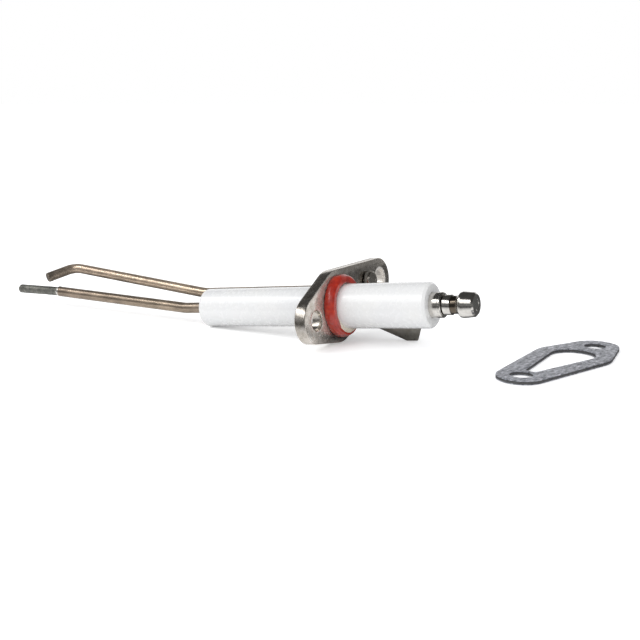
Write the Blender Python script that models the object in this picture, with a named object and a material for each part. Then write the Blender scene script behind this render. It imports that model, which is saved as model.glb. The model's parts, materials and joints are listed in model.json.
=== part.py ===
"""Ignition electrode of a gas burner, with its loose flange gasket, for Blender 4.5, in metres with +Z up.

The electrode is drawn about its own axis: local X runs from the spark tips towards the terminal, local Y runs
along the flange towards its long lobe, local Z is square to both, and the local origin is on the axis at the
flange's rear face. An empty then lays it on the surface z = 0, where it rests on three places: the underside
of the flange, the front edge of the ceramic and the tip of the earth tab. The gasket lies flat beside the
terminal. The world origin is the middle of the whole arrangement, on the surface.
"""

import math

import bmesh
import bpy
from mathutils import Vector

MM = 0.001
GAP = 0.3 * MM  # clearance between pieces that touch
SEGMENTS = 36  # sides of a turned piece
PAST = 1.0 * MM  # how far a cutter reaches past what it cuts
MERGE = 0.000001  # points closer than this are one point
ROD_END = [(1.0, 1.0), (0.45, 0.93), (0.0, 0.72)]  # shares of the rounding left, and of the radius there

# Ceramic insulator, measured from the flange's rear face
REAR_RADIUS = 6.0 * MM
SHOULDER = 0.55 * MM  # step down to the front part, which seats in the flange
REAR_LENGTH = 27.6 * MM
FRONT_LENGTH = 43.5 * MM
FRONT_EDGE = 1.0 * MM  # rounding of the front end
REAR_CHAMFER = 0.6 * MM
MOUTH_DEPTH = 3.0 * MM  # cement pocket round the ignition rod
CEMENT_WALL = 0.8 * MM  # round the ignition rod and the stud
CEMENT_SETBACK = 0.2 * MM  # of the front cement inside the ceramic's mouth

# Red sealing ring on the flange's rear face
RING_WALL = 2.1 * MM
RING_HEIGHT = 2.6 * MM

# Mounting flange: three round lobes in a row, joined by straight sides
FLANGE_THICKNESS = 3.2 * MM
LIP_THICKNESS = 1.0 * MM  # front lip that the ceramic's shoulder seats on
POCKET_CEMENT = 0.6 * MM  # cement wall between the flange and the ceramic
FLANGE_RIM = 1.45 * MM  # flange beyond the sealing ring
NEAR_LOBE = 6.2 * MM
FAR_LOBE = 6.0 * MM
SCREW_HOLE_RADIUS = 2.65 * MM
SCREW_CLEARANCE = 1.15 * MM  # between the near hole and the sealing ring
FAR_HOLE_SLOT = 0.6 * MM  # how far the far hole's half circles stand apart
EDGE = 0.25 * MM  # broken edges of the plate

# Rods
ROD_RADIUS = 1.55 * MM
TIP_RADIUS = 1.35 * MM
IGNITION_LEAD = 8.5 * MM  # straight run in front of the ceramic, up to the bend
IGNITION_RUN = 48.9 * MM  # forwards from the bend to the weld at the spark tip
IGNITION_SLOPE = math.radians(7.0)
SPARK_TIP_LENGTH = 17.0 * MM
SPARK_TIP_SLOPE = math.radians(4.5)
EARTH_CLEARANCE = 6.8 * MM  # between the ceramic's front part and the earth rod
EARTH_Z = 0.3 * MM
EARTH_LEAD = 11.0 * MM
EARTH_RUN = 51.4 * MM
EARTH_SLOPE = math.radians(10.7)
EARTH_HOOK_X = 4.4 * MM  # how far the hooked end still runs forwards
EARTH_HOOK_DROP = 0.8 * MM
SPARK_GAP = 3.7 * MM  # sideways, between the earth rod's end and the spark tip
ROD_BEND = 9.0 * MM  # centreline radius of the gentle bends
HOOK_BEND = 4.5 * MM
CUT_ROUNDING = 0.5 * MM  # of the ignition rod's welded end
TIP_ROUNDING = 0.8 * MM  # of the two free ends

# Terminal, turned parts on a threaded stud
STUD_RADIUS = 1.7 * MM  # core of the thread
STUD_DEPTH = 14.6 * MM  # how far the stud reaches into the ceramic
COLLAR_WALL = 1.3 * MM
COLLAR_DEPTH = 2.7 * MM  # part of the collar inside the ceramic
COLLAR_LENGTH = 3.0 * MM  # part of the collar outside it
NUT_WALL = 0.45 * MM  # at the waist
NUT_COLLAR_STEP = 0.2 * MM  # the nut's first collar stands this much over the waist
NUT_FLARE = 0.95 * MM  # the head stands this much over the waist
NUT_TAPER = 0.3 * MM  # how much the head narrows towards its end
NUT_NECK_LENGTH = 2.0 * MM
NUT_WAIST_LENGTH = 1.6 * MM
NUT_FLARE_LENGTH = 1.0 * MM
NUT_HEAD_LENGTH = 3.65 * MM
NUT_FLOOR = 0.9 * MM
TURNED_EDGE = 0.25 * MM  # broken edges of the turned parts

# Earth tab: blade, foot and rivet on the flange's rear face
TAB_THICKNESS = 0.8 * MM
TAB_WIDTH = 6.3 * MM
TAB_LENGTH = 17.4 * MM
TAB_CLEARANCE = 1.2 * MM  # between the blade and the sealing ring
TAB_ROOT_Z = -7.9 * MM  # lower edge where the blade leaves the foot
TAB_SLOPE = math.radians(22.0)
TAB_CHAMFER = 1.2 * MM  # lead-in at the blade's end, over its width
TAB_CHAMFER_LENGTH = 3.0 * MM
TAB_HOLE_RADIUS = 0.9 * MM
TAB_HOLE_INSET = 7.0 * MM  # of the detent hole, from the blade's end
RIVET_Z = 1.6 * MM
RIVET_RADIUS = 1.2 * MM
RIVET_HEAD = 2.6 * MM
RIVET_HEAD_HEIGHT = 0.4 * MM
COUNTERSINK = 0.5 * MM  # depth and overhang of the rivet's flush front head
RIVET_WEB = 0.25 * MM  # flange metal between the rivet and the earth rod
FOOT_RIM = 0.3 * MM  # foot beyond the rivet's head
FOOT_CLEARANCE = 1.45 * MM  # between the foot and the far screw hole

# Gasket: a core between two thin metal facings
FACING_THICKNESS = 0.2 * MM
CORE_THICKNESS = 0.4 * MM
LAYER_GAP = 0.1 * MM
GASKET_CLEARANCE = 0.25 * MM  # round the ceramic
GASKET_HOLE_RADIUS = 2.8 * MM
GASKET_END_RADIUS = 1.7 * MM  # narrow end of the teardrop opening
GASKET_WEB = 1.1 * MM  # between that end and the far screw hole
GASKET_DISTANCE = 10.45 * MM  # it lies this far behind the terminal
GASKET_Y = 14.9 * MM
GASKET_TURN = math.radians(258.5)

# Worked out from the sizes above
FRONT_RADIUS = REAR_RADIUS - SHOULDER
FRONT_BORE = ROD_RADIUS + GAP
REAR_BORE = STUD_RADIUS + CEMENT_WALL + 2 * GAP
COLLAR_RADIUS = STUD_RADIUS + GAP + COLLAR_WALL
COLLAR_BORE = COLLAR_RADIUS + GAP
POCKET_RADIUS = REAR_RADIUS + POCKET_CEMENT + 2 * GAP
LIP_RADIUS = FRONT_RADIUS + GAP
SHOULDER_X = GAP + LIP_THICKNESS - FLANGE_THICKNESS
RING_RADIUS = REAR_RADIUS + GAP + RING_WALL
BODY_LOBE = RING_RADIUS + FLANGE_RIM
EARTH_Y = FRONT_RADIUS + EARTH_CLEARANCE + ROD_RADIUS
RIVET_Y = EARTH_Y + ROD_RADIUS + RIVET_WEB + RIVET_RADIUS + COUNTERSINK + 2 * GAP
TAB_Y = RING_RADIUS + TAB_CLEARANCE + TAB_THICKNESS / 2
NEAR_HOLE_Y = -(RING_RADIUS + SCREW_CLEARANCE + SCREW_HOLE_RADIUS)
FAR_HOLE_Y = RIVET_Y + RIVET_HEAD + FOOT_RIM + FOOT_CLEARANCE + FAR_HOLE_SLOT + SCREW_HOLE_RADIUS
NUT_WAIST = STUD_RADIUS + GAP + NUT_WALL
NUT_NECK = NUT_WAIST + NUT_COLLAR_STEP
NUT_HEAD = NUT_WAIST + NUT_FLARE
NUT_END = NUT_HEAD - NUT_TAPER
NUT_X = REAR_LENGTH + COLLAR_LENGTH + GAP
NUT_END_X = NUT_X + NUT_NECK_LENGTH + NUT_WAIST_LENGTH + NUT_FLARE_LENGTH + NUT_HEAD_LENGTH + TURNED_EDGE
GASKET_END_Y = FAR_HOLE_Y - GASKET_HOLE_RADIUS - GASKET_WEB - GASKET_END_RADIUS
GASKET_X = NUT_END_X + GASKET_DISTANCE + BODY_LOBE


def clear_scene():
    for item in list(bpy.data.objects):
        bpy.data.objects.remove(item, do_unlink=True)


def material(name, colour, roughness, metallic=0.0):
    """A plain Principled material."""
    made = bpy.data.materials.new(name)
    made.use_nodes = True
    shader = made.node_tree.nodes["Principled BSDF"]
    shader.inputs["Base Color"].default_value = (*colour, 1.0)
    shader.inputs["Roughness"].default_value = roughness
    shader.inputs["Metallic"].default_value = metallic
    made.diffuse_color = (*colour, 1.0)
    return made


def add_mesh(name, bm, look, parent, location=(0, 0, 0)):
    """Turns a bmesh into a named object with closed, outward faces and smooth round sides."""
    bmesh.ops.remove_doubles(bm, verts=bm.verts, dist=MERGE)
    bmesh.ops.recalc_face_normals(bm, faces=bm.faces)
    mesh = bpy.data.meshes.new(name)
    bm.to_mesh(mesh)
    bm.free()
    mesh.shade_smooth()
    mesh.set_sharp_from_angle(angle=math.radians(35))
    made = bpy.data.objects.new(name, mesh)
    bpy.context.scene.collection.objects.link(made)
    if look:
        mesh.materials.append(look)
    made.parent = parent
    made.location = location
    return made


def turned(name, profile, look, parent, location=(0, 0, 0), ring=False):
    """Spins a profile of (x, radius) points about the X axis. A ring's profile closes on itself."""
    bm = bmesh.new()
    points = [bm.verts.new((x, 0, radius)) for x, radius in profile]
    pairs = list(zip(points, points[1:]))
    if ring:
        pairs.append((points[-1], points[0]))
    edges = [bm.edges.new(pair) for pair in pairs]
    bmesh.ops.spin(
        bm,
        geom=points + edges,
        cent=(0, 0, 0),
        axis=(1, 0, 0),
        angle=math.tau,
        steps=SEGMENTS,
        use_merge=True,
    )
    return add_mesh(name, bm, look, parent, location)


def arc(centre, radius, start, end, steps):
    """Points of an arc in a plane, from angle start to angle end, both included."""
    angles = [start + (end - start) * i / steps for i in range(steps + 1)]
    return [(centre[0] + radius * math.cos(a), centre[1] + radius * math.sin(a)) for a in angles]


def wrapped(circles, steps=12):
    """The outline of round lobes (x, y, radius) in the order given, joined by their outer tangents."""
    normals = []
    for (xa, ya, ra), (xb, yb, rb) in zip(circles, circles[1:] + circles[:1]):
        along = math.atan2(yb - ya, xb - xa)
        lean = math.acos((ra - rb) / math.hypot(xb - xa, yb - ya))
        normals.append(along - lean)
    outline = []
    for i, (x, y, radius) in enumerate(circles):
        start = normals[i - 1]
        end = normals[i]
        while end < start:
            end += math.tau
        outline += arc((x, y), radius, start, end, steps)
    return outline


def lobed(radius_near, radius_body, radius_far):
    """The flange's outline: its body lobe between the near and far lobes."""
    body = (0, 0, radius_body)
    near = (NEAR_HOLE_Y, 0, radius_near)
    far = (FAR_HOLE_Y, 0, radius_far)
    return wrapped([near, body, far, body])


def extruded(name, outline, low, high, place, look, parent, location=(0, 0, 0)):
    """A prism: the outline's points (a, b) at heights low and high, put in space by place(a, b, height)."""
    bm = bmesh.new()
    face = bm.faces.new([bm.verts.new(place(a, b, low)) for a, b in outline])
    top = bmesh.ops.extrude_face_region(bm, geom=[face])
    raised = [item for item in top["geom"] if isinstance(item, bmesh.types.BMVert)]
    lift = Vector(place(0, 0, high)) - Vector(place(0, 0, low))
    bmesh.ops.translate(bm, verts=raised, vec=lift)
    return add_mesh(name, bm, look, parent, location)


def across(a, b, height):
    """For plates square to the electrode's axis."""
    return (height, a, b)


def flat(a, b, height):
    """For layers that lie flat."""
    return (a, b, height)


def upright(a, b, height):
    """For a blade that stands along the electrode's axis."""
    return (a, height, b)


def boolean(target, tool, operation):
    """Cuts or adds another object, which is then only a guide."""
    step = target.modifiers.new(operation.lower() + " " + tool.name, "BOOLEAN")
    step.operation = operation
    step.solver = "EXACT"
    step.object = tool
    tool.hide_render = True
    tool.display_type = "WIRE"


def soften(target, width):
    """Breaks the sharp edges of a plate."""
    weld = target.modifiers.new("weld", "WELD")
    weld.merge_threshold = 10 * MERGE
    step = target.modifiers.new("broken edges", "BEVEL")
    step.width = width
    step.segments = 1
    step.limit_method = "ANGLE"
    step.angle_limit = math.radians(50)


def bent(corners, radii, steps=6):
    """A path through corner points with a round bend of the given radius at each inner corner."""
    path = [corners[0]]
    for before, corner, after, radius in zip(corners, corners[1:], corners[2:], radii):
        inward = (before - corner).normalized()
        outward = (after - corner).normalized()
        half = inward.angle(outward) / 2
        middle = corner + (inward + outward).normalized() * (radius / math.sin(half))
        first = corner + inward * (radius / math.tan(half)) - middle
        last = corner + outward * (radius / math.tan(half)) - middle
        turn = first.angle(last)
        for i in range(steps + 1):
            share = i / steps
            near = first * math.sin(turn * (1 - share))
            path.append(middle + (near + last * math.sin(turn * share)) / math.sin(turn))
    return path + [corners[-1]]


def rod(name, path, radius, look, parent, end_rounding):
    """A round rod along a path, whose last stretch is drawn in to a rounded end."""
    tail = path[-1]
    back = (path[-2] - tail).normalized()
    points = [(point, 1.0) for point in path[:-1]]
    points += [(tail + back * end_rounding * share, width) for share, width in ROD_END]
    curve = bpy.data.curves.new(name, "CURVE")
    curve.dimensions = "3D"
    curve.bevel_depth = radius
    curve.bevel_resolution = 4
    curve.use_fill_caps = True
    spline = curve.splines.new("POLY")
    spline.points.add(len(points) - 1)
    for target, (point, width) in zip(spline.points, points):
        target.co = (*point, 1.0)
        target.radius = width
    spline.use_smooth = True
    curve.materials.append(look)
    made = bpy.data.objects.new(name, curve)
    bpy.context.scene.collection.objects.link(made)
    made.parent = parent
    return made


def make_ceramic(parent):
    edge = [
        (FRONT_EDGE * (1 - math.sin(a)) - FRONT_LENGTH, FRONT_RADIUS - FRONT_EDGE * (1 - math.cos(a)))
        for a in (math.radians(90 - 18 * i) for i in range(6))
    ]
    mouth = FRONT_BORE + CEMENT_WALL + GAP
    profile = edge + [
        (SHOULDER_X, FRONT_RADIUS),
        (SHOULDER_X, REAR_RADIUS),
        (REAR_LENGTH - REAR_CHAMFER, REAR_RADIUS),
        (REAR_LENGTH, REAR_RADIUS - REAR_CHAMFER),
        (REAR_LENGTH, COLLAR_BORE),
        (REAR_LENGTH - COLLAR_DEPTH - GAP, COLLAR_BORE),
        (REAR_LENGTH - COLLAR_DEPTH - GAP, REAR_BORE),
        (REAR_LENGTH - STUD_DEPTH - GAP, REAR_BORE),
        (REAR_LENGTH - STUD_DEPTH - GAP, FRONT_BORE),
        (MOUTH_DEPTH - FRONT_LENGTH, FRONT_BORE),
        (MOUTH_DEPTH - FRONT_LENGTH, mouth),
        (-FRONT_LENGTH, mouth),
    ]
    glaze = material("glazed alumina", (0.82, 0.82, 0.81), 0.18)
    turned("ceramic_insulator", profile, glaze, parent, ring=True)


def make_cements(parent):
    cement = material("ceramic cement", (0.72, 0.66, 0.55), 0.85)
    sleeve(
        "front_cement",
        CEMENT_SETBACK - FRONT_LENGTH,
        MOUTH_DEPTH - FRONT_LENGTH - GAP,
        FRONT_BORE,
        CEMENT_WALL,
        cement,
        parent,
    )
    sleeve(
        "rear_cement",
        REAR_LENGTH - STUD_DEPTH,
        REAR_LENGTH - COLLAR_DEPTH - 2 * GAP,
        STUD_RADIUS + GAP,
        CEMENT_WALL,
        cement,
        parent,
    )
    sleeve("flange_cement", SHOULDER_X, 0, REAR_RADIUS + GAP, POCKET_CEMENT, cement, parent)


def sleeve(name, start, end, inner, wall, look, parent):
    """A plain tube round the electrode's axis."""
    outer = inner + wall
    profile = [(start, inner), (start, outer), (end, outer), (end, inner)]
    turned(name, profile, look, parent, ring=True)


def make_ring(parent):
    """The silicone ring: flat on the flange, rounded on top, close round the ceramic."""
    middle = RING_RADIUS - RING_WALL / 2
    crown = [
        (GAP + RING_HEIGHT * math.sin(a) ** 0.7, middle - RING_WALL / 2 * math.cos(a))
        for a in (math.pi * i / 12 for i in range(13))
    ]
    red = material("red silicone", (0.50, 0.035, 0.015), 0.32)
    turned("sealing_ring", crown, red, parent, ring=True)


def make_flange(parent):
    plated = material("plated steel", (0.62, 0.60, 0.57), 0.22, 1.0)
    outline = lobed(NEAR_LOBE, BODY_LOBE, FAR_LOBE)
    plate = extruded("mounting_flange", outline, -FLANGE_THICKNESS, 0, across, plated, parent)
    past = FLANGE_THICKNESS + PAST
    near = wrapped_slot(NEAR_HOLE_Y, 0, SCREW_HOLE_RADIUS)
    far = wrapped_slot(FAR_HOLE_Y, FAR_HOLE_SLOT, SCREW_HOLE_RADIUS)
    seat = SHOULDER_X - GAP
    bore = [
        (-past, 0),
        (-past, LIP_RADIUS),
        (seat, LIP_RADIUS),
        (seat, POCKET_RADIUS),
        (PAST, POCKET_RADIUS),
        (PAST, 0),
    ]
    cuts = [
        extruded("near_hole_cutter", near, -past, PAST, across, None, parent),
        extruded("far_hole_cutter", far, -past, PAST, across, None, parent),
        turned("bore_cutter", bore, None, parent),
        disc_cutter("earth_rod_cutter", -past, PAST, ROD_RADIUS + GAP, parent, (0, EARTH_Y, EARTH_Z)),
        turned("rivet_cutter", rivet_hole(past), None, parent, (0, RIVET_Y, RIVET_Z)),
    ]
    for cut in cuts:
        boolean(plate, cut, "DIFFERENCE")
    soften(plate, EDGE)


def wrapped_slot(middle, spread, radius):
    """A round hole, or a slot where its two half circles stand apart, in the row of the lobes."""
    right = arc((middle + spread, 0), radius, -math.pi / 2, math.pi / 2, 12)
    left = arc((middle - spread, 0), radius, math.pi / 2, 3 * math.pi / 2, 12)
    return right + (left if spread else left[1:-1])


def disc_cutter(name, low, high, radius, parent, location=(0, 0, 0)):
    profile = [(low, 0), (low, radius), (high, radius), (high, 0)]
    return turned(name, profile, None, parent, location)


def rivet_hole(reach):
    """The rivet's hole through the flange, countersunk at the front."""
    front = -FLANGE_THICKNESS
    wide = RIVET_RADIUS + COUNTERSINK + GAP
    shank = RIVET_RADIUS + GAP
    sunk = front + COUNTERSINK
    return [(-reach, 0), (-reach, wide), (front, wide), (sunk, shank), (reach, shank), (reach, 0)]


def rivet_profile():
    """Countersunk flush at the flange's front, with a low round head behind the tab's foot."""
    front = -FLANGE_THICKNESS
    seat = 2 * GAP + TAB_THICKNESS
    crown = [
        (seat + RIVET_HEAD_HEIGHT * math.sin(a), RIVET_HEAD * math.cos(a))
        for a in (math.radians(15 * i) for i in range(6))
    ]
    shank = [
        (front, 0),
        (front, RIVET_RADIUS + COUNTERSINK),
        (front + COUNTERSINK, RIVET_RADIUS),
        (seat, RIVET_RADIUS),
    ]
    return shank + crown + [(seat + RIVET_HEAD_HEIGHT, 0)]


def blade_point(along, over):
    """A point of the blade's outline, in (x, z): along its length and over its width."""
    x = GAP + along * math.cos(TAB_SLOPE) + over * math.sin(TAB_SLOPE)
    return (x, TAB_ROOT_Z - along * math.sin(TAB_SLOPE) + over * math.cos(TAB_SLOPE))


def make_tab(parent):
    tin = material("tinned brass", (0.50, 0.48, 0.43), 0.35, 1.0)
    top_z = TAB_ROOT_Z + TAB_WIDTH / math.cos(TAB_SLOPE)
    side = TAB_Y - TAB_THICKNESS / 2
    rim = RIVET_HEAD + FOOT_RIM
    corner = TAB_THICKNESS
    foot_shape = [
        (side + corner, TAB_ROOT_Z + corner, corner),
        (RIVET_Y, RIVET_Z, rim),
        (side + corner, top_z - corner, corner),
    ]
    foot_top = GAP + TAB_THICKNESS
    foot = extruded("earth_tab", wrapped(foot_shape, 8), GAP, foot_top, across, tin, parent)
    blade_shape = [
        (GAP, TAB_ROOT_Z),
        blade_point(TAB_LENGTH - TAB_CHAMFER_LENGTH, 0),
        blade_point(TAB_LENGTH, TAB_CHAMFER),
        blade_point(TAB_LENGTH, TAB_WIDTH - TAB_CHAMFER),
        blade_point(TAB_LENGTH - TAB_CHAMFER_LENGTH, TAB_WIDTH),
        (GAP, top_z),
    ]
    blade = extruded(
        "blade_guide", blade_shape, side, side + TAB_THICKNESS, upright, None, parent
    )
    hole = blade_point(TAB_LENGTH - TAB_HOLE_INSET, TAB_WIDTH / 2)
    hole_cut = extruded(
        "tab_hole_cutter",
        arc(hole, TAB_HOLE_RADIUS, 0, math.tau * 23 / 24, 23),
        side - PAST,
        side + TAB_THICKNESS + PAST,
        upright,
        None,
        parent,
    )
    rivet_cut = disc_cutter(
        "foot_hole_cutter", GAP - PAST, foot_top + PAST, RIVET_RADIUS + GAP, parent, (0, RIVET_Y, RIVET_Z)
    )
    boolean(foot, blade, "UNION")
    boolean(foot, hole_cut, "DIFFERENCE")
    boolean(foot, rivet_cut, "DIFFERENCE")
    steel = material("rivet steel", (0.55, 0.53, 0.50), 0.3, 1.0)
    turned("tab_rivet", rivet_profile(), steel, parent, (0, RIVET_Y, RIVET_Z))


def ignition_points():
    """Centreline corners of the ignition rod: tail, bend and weld."""
    tail = Vector((REAR_LENGTH - STUD_DEPTH - GAP, 0, 0))
    bend = Vector((-FRONT_LENGTH - IGNITION_LEAD, 0, 0))
    weld = bend + Vector((-IGNITION_RUN, 0, IGNITION_RUN * math.tan(IGNITION_SLOPE)))
    return [tail, bend, weld]


def earth_points():
    """Centreline corners of the earth rod: root in the flange, bend, corner and hooked end."""
    root = Vector((-GAP, EARTH_Y, EARTH_Z))
    bend = Vector((-FRONT_LENGTH - EARTH_LEAD, EARTH_Y, EARTH_Z))
    corner = bend + Vector((-EARTH_RUN, 0, EARTH_RUN * math.tan(EARTH_SLOPE)))
    end = Vector((corner.x - EARTH_HOOK_X, TIP_RADIUS + SPARK_GAP, corner.z - EARTH_HOOK_DROP))
    return [root, bend, corner, end]


def make_rods(parent):
    tinted = material("heat-tinted steel", (0.33, 0.25, 0.19), 0.35, 1.0)
    darker = material("scaled spark tip", (0.20, 0.19, 0.17), 0.5, 1.0)
    ignition = ignition_points()
    rod("ignition_rod", bent(ignition, [ROD_BEND]), ROD_RADIUS, tinted, parent, CUT_ROUNDING)
    forwards = Vector((-math.cos(SPARK_TIP_SLOPE), 0, math.sin(SPARK_TIP_SLOPE)))
    start = ignition[-1] + forwards * GAP
    tip = start + forwards * SPARK_TIP_LENGTH
    rod("spark_tip", [start, tip], TIP_RADIUS, darker, parent, TIP_ROUNDING)
    path = bent(earth_points(), [ROD_BEND, HOOK_BEND])
    rod("earth_rod", path, ROD_RADIUS, tinted, parent, TIP_ROUNDING)


def make_terminal(parent):
    bright = material("bright nickel", (0.72, 0.70, 0.66), 0.12, 1.0)
    stud_start = REAR_LENGTH - STUD_DEPTH
    stud_end = NUT_END_X - NUT_FLOOR - GAP
    stud = [(stud_start, 0), (stud_start, STUD_RADIUS), (stud_end, STUD_RADIUS), (stud_end, 0)]
    turned("terminal_stud", stud, bright, parent)
    inner = STUD_RADIUS + GAP
    collar_start = REAR_LENGTH - COLLAR_DEPTH
    collar_end = REAR_LENGTH + COLLAR_LENGTH
    collar = [
        (collar_start, inner),
        (collar_start, COLLAR_RADIUS),
        (collar_end - TURNED_EDGE, COLLAR_RADIUS),
        (collar_end, COLLAR_RADIUS - TURNED_EDGE),
        (collar_end, inner),
    ]
    turned("terminal_collar", collar, bright, parent, ring=True)
    waist_x = NUT_X + NUT_NECK_LENGTH
    flare_x = waist_x + NUT_WAIST_LENGTH
    head_x = flare_x + NUT_FLARE_LENGTH
    nut = [
        (NUT_END_X - NUT_FLOOR, 0),
        (NUT_END_X - NUT_FLOOR, inner),
        (NUT_X, inner),
        (NUT_X, NUT_NECK),
        (waist_x, NUT_NECK),
        (waist_x + TURNED_EDGE, NUT_WAIST),
        (flare_x, NUT_WAIST),
        (head_x, NUT_HEAD - TURNED_EDGE / 2),
        (head_x + 2 * TURNED_EDGE, NUT_HEAD),
        (head_x + NUT_HEAD_LENGTH, NUT_END),
        (NUT_END_X, NUT_END - 2 * TURNED_EDGE),
        (NUT_END_X, 0),
    ]
    turned("terminal_nut", nut, bright, parent)


def make_gasket(parent):
    """Three layers of one outline, each with the same teardrop opening and screw holes."""
    outline = lobed(NEAR_LOBE, BODY_LOBE, FAR_LOBE)
    wide = (0, 0, FRONT_RADIUS + GASKET_CLEARANCE)
    opening = wrapped([wide, (GASKET_END_Y, 0, GASKET_END_RADIUS)])
    near = wrapped_slot(NEAR_HOLE_Y, 0, GASKET_HOLE_RADIUS)
    far = wrapped_slot(FAR_HOLE_Y, 0, GASKET_HOLE_RADIUS)
    foil = material("facing foil", (0.36, 0.37, 0.40), 0.4, 1.0)
    fibre = material("graphite fibre", (0.09, 0.09, 0.09), 0.8)
    core_low = FACING_THICKNESS + LAYER_GAP
    core_high = core_low + CORE_THICKNESS
    layers = [
        ("gasket_lower_facing", 0, FACING_THICKNESS, foil),
        ("gasket_core", core_low, core_high, fibre),
        ("gasket_upper_facing", core_high + LAYER_GAP, core_high + LAYER_GAP + FACING_THICKNESS, foil),
    ]
    past = core_high + LAYER_GAP + FACING_THICKNESS + PAST
    cuts = [
        extruded("opening_cutter", opening, -past, past, flat, None, parent),
        extruded("gasket_near_cutter", near, -past, past, flat, None, parent),
        extruded("gasket_far_cutter", far, -past, past, flat, None, parent),
    ]
    for name, low, high, look in layers:
        layer = extruded(name, outline, low, high, flat, look, parent)
        for cut in cuts:
            boolean(layer, cut, "DIFFERENCE")


def resting_attitude():
    """The tilt and roll at which the flange, the ceramic's front and the earth tab all touch the surface."""
    flange_x = EDGE - FLANGE_THICKNESS
    front_x = FRONT_EDGE - FRONT_LENGTH
    tilt = math.atan2(BODY_LOBE - FRONT_RADIUS, flange_x - front_x)
    floor = flange_x * math.sin(tilt) - BODY_LOBE * math.cos(tilt)
    rolls = []
    corners = [(TAB_LENGTH - TAB_CHAMFER_LENGTH, 0), (TAB_LENGTH, TAB_CHAMFER)]
    for along, over in corners:
        x, z = blade_point(along, over)
        reach = math.hypot(TAB_Y, z)
        drop = (floor - x * math.sin(tilt)) / math.cos(tilt)
        rolls.append(math.atan2(TAB_Y, z) - math.acos(max(-1.0, drop / reach)))
    return tilt, max(rolls), -floor


def stand_empty(name):
    made = bpy.data.objects.new(name, None)
    bpy.context.scene.collection.objects.link(made)
    return made


def centre_on_surface(stands):
    """Moves both stands together, so that the origin is the middle of everything on the surface."""
    bpy.context.view_layer.update()
    graph = bpy.context.evaluated_depsgraph_get()
    corners = []
    for item in bpy.context.scene.objects:
        if item.type not in ("MESH", "CURVE") or item.hide_render:
            continue
        shown = item.evaluated_get(graph)
        mesh = shown.to_mesh()
        corners += [shown.matrix_world @ vertex.co for vertex in mesh.vertices]
        shown.to_mesh_clear()
    low = [min(corner[i] for corner in corners) for i in range(3)]
    high = [max(corner[i] for corner in corners) for i in range(3)]
    shift = Vector((-(low[0] + high[0]) / 2, -(low[1] + high[1]) / 2, -low[2]))
    for stand in stands:
        stand.location += shift


def main():
    clear_scene()
    electrode = stand_empty("electrode_stand")
    gasket = stand_empty("gasket_stand")
    make_ceramic(electrode)
    make_cements(electrode)
    make_ring(electrode)
    make_flange(electrode)
    make_tab(electrode)
    make_rods(electrode)
    make_terminal(electrode)
    make_gasket(gasket)
    tilt, roll, height = resting_attitude()
    electrode.rotation_euler = (roll, -tilt, 0)
    electrode.location = (0, 0, height)
    gasket.rotation_euler = (0, 0, GASKET_TURN)
    gasket.location = (GASKET_X, GASKET_Y, 0)
    centre_on_surface([electrode, gasket])


main()
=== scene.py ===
"""Looks of a burner ignition electrode and its loose flange gasket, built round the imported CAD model.

The electrode's pieces are drawn about its own axes: X runs from the spark tips towards the terminal, Y along
the flange towards its long lobe, Z is square to both, and the origin is on the axis at the flange's rear
face. The gasket's layers are drawn flat, about the middle of the body lobe, with X towards the long lobe.
"""

import json
import math

import bmesh
import bpy
from mathutils import Matrix, Vector, noise


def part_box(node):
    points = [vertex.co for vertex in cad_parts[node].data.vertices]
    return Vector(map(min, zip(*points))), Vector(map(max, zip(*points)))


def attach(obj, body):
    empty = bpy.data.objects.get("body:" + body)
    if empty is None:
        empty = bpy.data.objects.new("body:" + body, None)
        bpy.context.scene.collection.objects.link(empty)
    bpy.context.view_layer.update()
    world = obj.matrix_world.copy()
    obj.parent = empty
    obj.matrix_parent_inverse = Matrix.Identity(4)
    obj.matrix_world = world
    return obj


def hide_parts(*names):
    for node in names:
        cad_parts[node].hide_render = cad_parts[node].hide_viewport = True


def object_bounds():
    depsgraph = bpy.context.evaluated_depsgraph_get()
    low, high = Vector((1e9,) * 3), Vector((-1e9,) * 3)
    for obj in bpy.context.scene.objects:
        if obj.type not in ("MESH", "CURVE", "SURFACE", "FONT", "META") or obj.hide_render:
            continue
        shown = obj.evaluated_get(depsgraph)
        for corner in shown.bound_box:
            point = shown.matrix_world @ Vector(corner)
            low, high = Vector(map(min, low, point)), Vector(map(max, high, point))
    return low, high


MM = 0.001
SIDES = 112  # round a turned piece
ROD_SIDES = 40  # round a rod

# Sizes shared with the CAD part
FRONT_RADIUS = 5.45 * MM
FRONT_BORE = 1.85 * MM
FRONT_EDGE = 1.0 * MM
REAR_CHAMFER = 0.6 * MM
MOUTH_DEPTH = 3.0 * MM
FLANGE_THICKNESS = 3.2 * MM
LIP_THICKNESS = 1.0 * MM
BODY_LOBE = 9.85 * MM
NEAR_LOBE = 6.2 * MM
FAR_LOBE = 6.0 * MM
NEAR_HOLE_Y = -12.2 * MM
FAR_HOLE_Y = 25.5 * MM
SCREW_HOLE_RADIUS = 2.65 * MM
FAR_HOLE_SLOT = 0.6 * MM
ROD_RADIUS = 1.55 * MM
TIP_RADIUS = 1.35 * MM
EARTH_Y = 13.8 * MM
EARTH_Z = 0.3 * MM
EARTH_LEAD = 11.0 * MM
EARTH_RUN = 51.4 * MM
EARTH_SLOPE = math.radians(10.7)
EARTH_HOOK = Vector((-4.4, -8.75, -0.8)) * MM
IGNITION_LEAD = 8.5 * MM
IGNITION_RUN = 48.9 * MM
IGNITION_SLOPE = math.radians(7.0)
SPARK_TIP_LENGTH = 17.0 * MM
SPARK_TIP_SLOPE = math.radians(4.5)
ROD_BEND = 9.0 * MM
HOOK_BEND = 4.5 * MM
TAB_THICKNESS = 0.8 * MM
TAB_WIDTH = 6.3 * MM
TAB_LENGTH = 17.4 * MM
TAB_Y = 10.0 * MM
TAB_ROOT_Z = -7.9 * MM
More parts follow.
